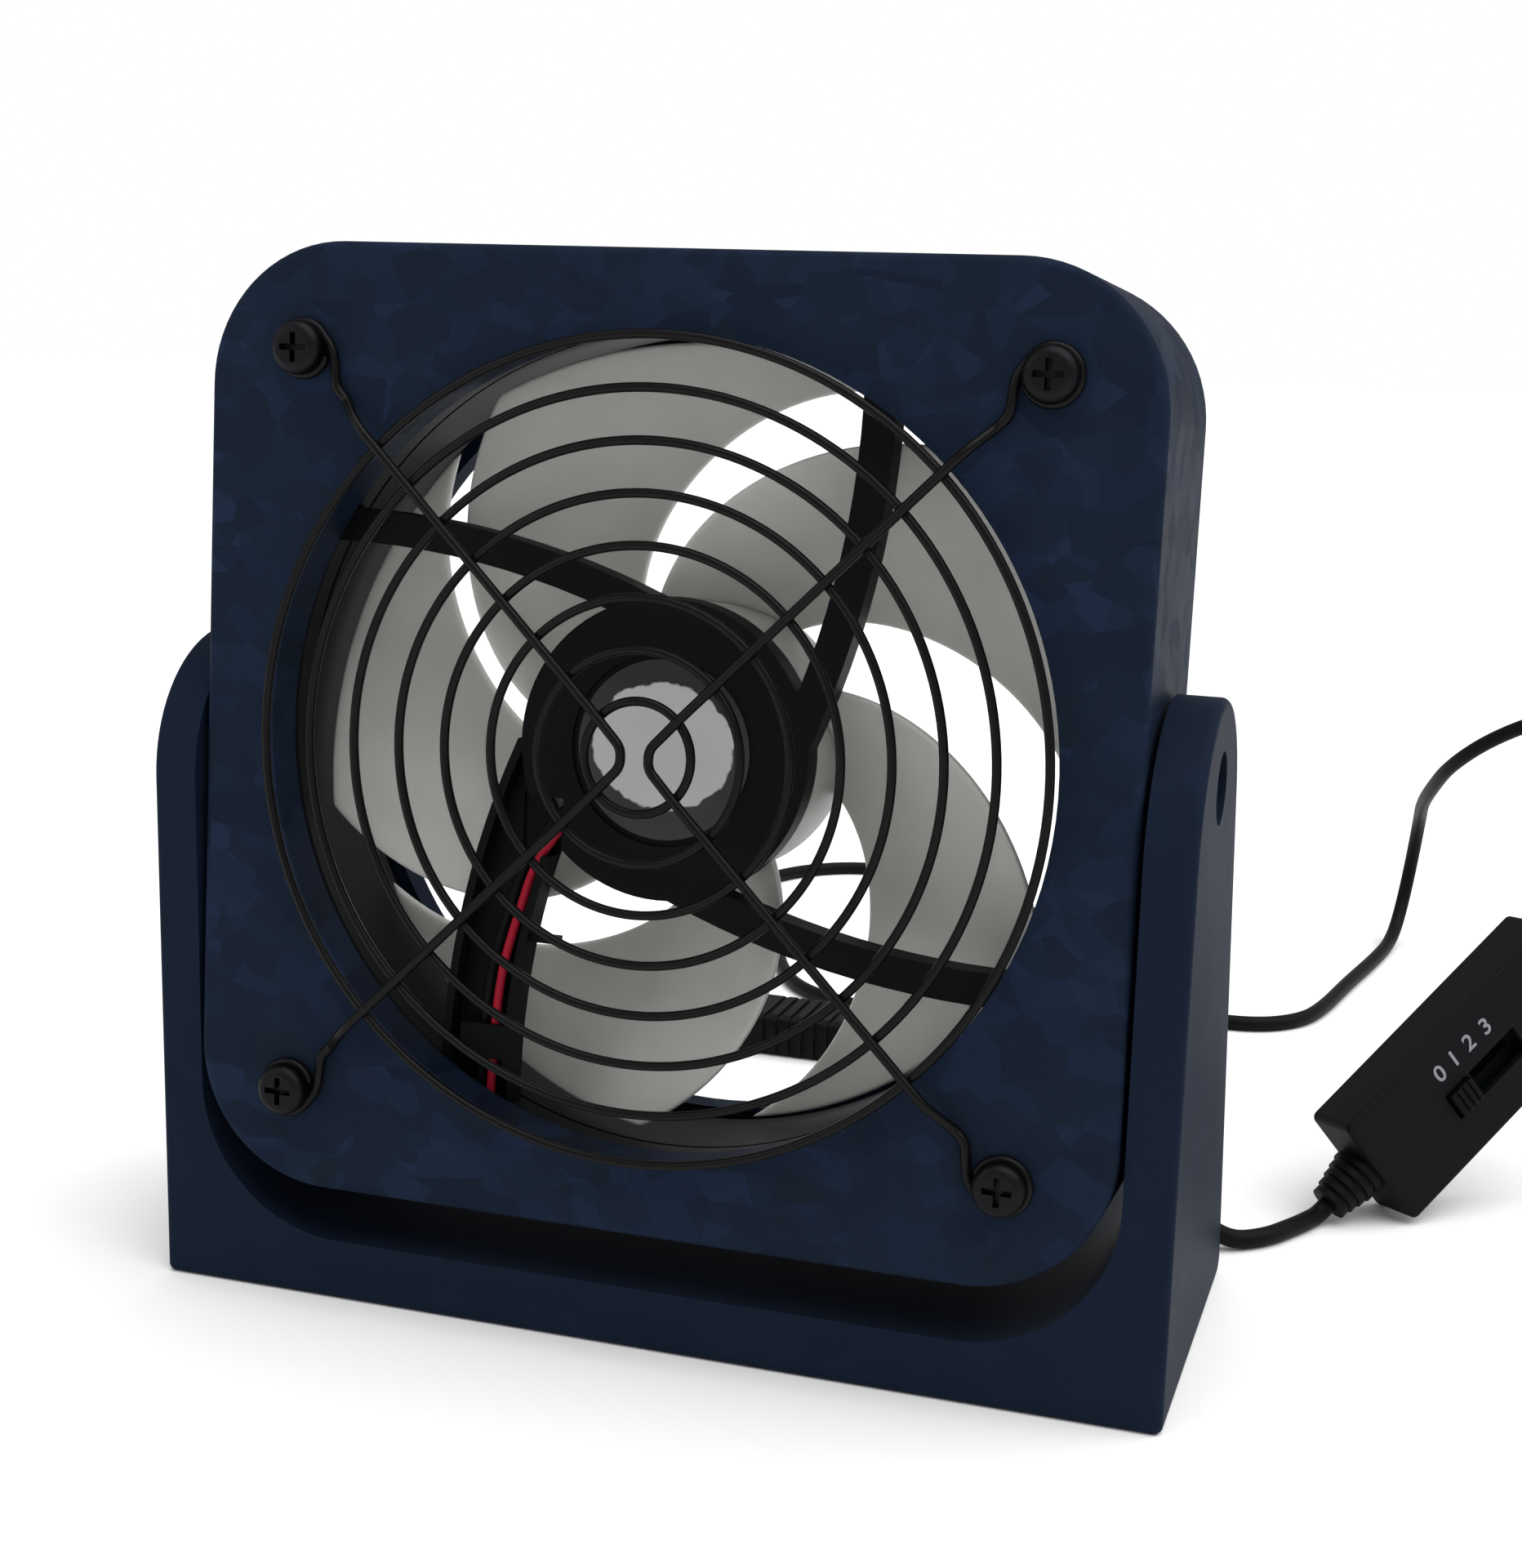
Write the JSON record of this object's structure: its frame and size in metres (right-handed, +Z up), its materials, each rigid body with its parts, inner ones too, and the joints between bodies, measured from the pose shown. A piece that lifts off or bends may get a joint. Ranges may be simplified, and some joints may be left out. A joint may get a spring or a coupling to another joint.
{
  "type": "desk fan",
  "caption": "Small desk fan with a square head and wire guard that tilts in a U stand, on a cord with an in-line speed switch and a USB plug.",
  "frame": {"origin": "middle of the stand's underside, on the table", "axes": "+X to the right and +Y to the back as seen from the front of the fan, +Z up"},
  "size_m": [0.2197, 0.2898, 0.1524],
  "materials": {
    "navy_case": "satin navy paint, slightly mottled",
    "nylon": "natural nylon",
    "brass": "machined",
    "black_screw": "black oxide",
    "zinc_steel": "zinc plated",
    "black_wire": "satin black coating",
    "black_fan": "moulded, fine texture",
    "label": "satin silver-grey, bare",
    "bronze": "sintered",
    "core_steel": "laminated",
    "insulator": "moulded",
    "copper": "enamelled copper",
    "circuit_board": "green solder mask",
    "red_wire": "smooth insulation",
    "black_cord": "matt cord jacket",
    "frosted_blade": "frosted translucent",
    "ferrite": "pressed ferrite",
    "shaft_steel": "ground",
    "black_controller": "fine texture",
    "slider_black": "moulded",
    "plug_metal": "nickel plated"
  },
  "bodies": {
    "stand": {"stand_bracket": "navy_case", "pivot_washers": "nylon", "fan_lead": "black_cord", "supply_lead": "black_cord", "controller_lower_shell": "black_controller", "controller_upper_shell": "black_controller", "controller_board": "circuit_board", "slide_switch": "zinc_steel", "relief_near": "black_cord", "relief_far": "black_cord", "controller_wires": "red_wire", "plug_grip": "black_cord", "plug_shell": "plug_metal", "plug_tongue": "insulator", "plug_contacts": "brass"},
    "head": {"head_housing": "navy_case", "rear_plate": "navy_case", "pivot_inserts": "brass", "pivot_screws": "black_screw", "finger_guard": "black_wire", "guard_screws": "black_screw", "guard_nuts": "zinc_steel", "fan_frame": "black_fan", "motor_label": "label", "bearing_sleeve": "bronze", "stator_core": "core_steel", "stator_insulators": "insulator", "coil_windings": "copper", "motor_board": "circuit_board", "red_lead": "red_wire", "black_lead": "black_cord", "cord_gland": "black_cord"},
    "rotor": {"impeller": "frosted_blade", "rotor_yoke": "zinc_steel", "magnet_ring": "ferrite", "motor_shaft": "shaft_steel", "shaft_clip": "nylon"},
    "slider": {"speed_slider": "slider_black"}
  },
  "joints": [
    {"name": "head_tilt", "type": "hinge", "parent": "stand", "child": "head", "pos_m": [0, -0.01, 0.084], "axis": [-1, 0, 0], "range_deg": [-24, 30]},
    {"name": "impeller_spin", "type": "hinge", "parent": "head", "child": "rotor", "pos_m": [0, -0.01, 0.084], "axis": [0, 0.9973, -0.0738], "continuous": true},
    {"name": "slider_travel", "type": "slide", "parent": "stand", "child": "slider", "axis": [0.5653, 0.5459, 0.6184], "range_m": [0, 0.0111]}
  ]
}
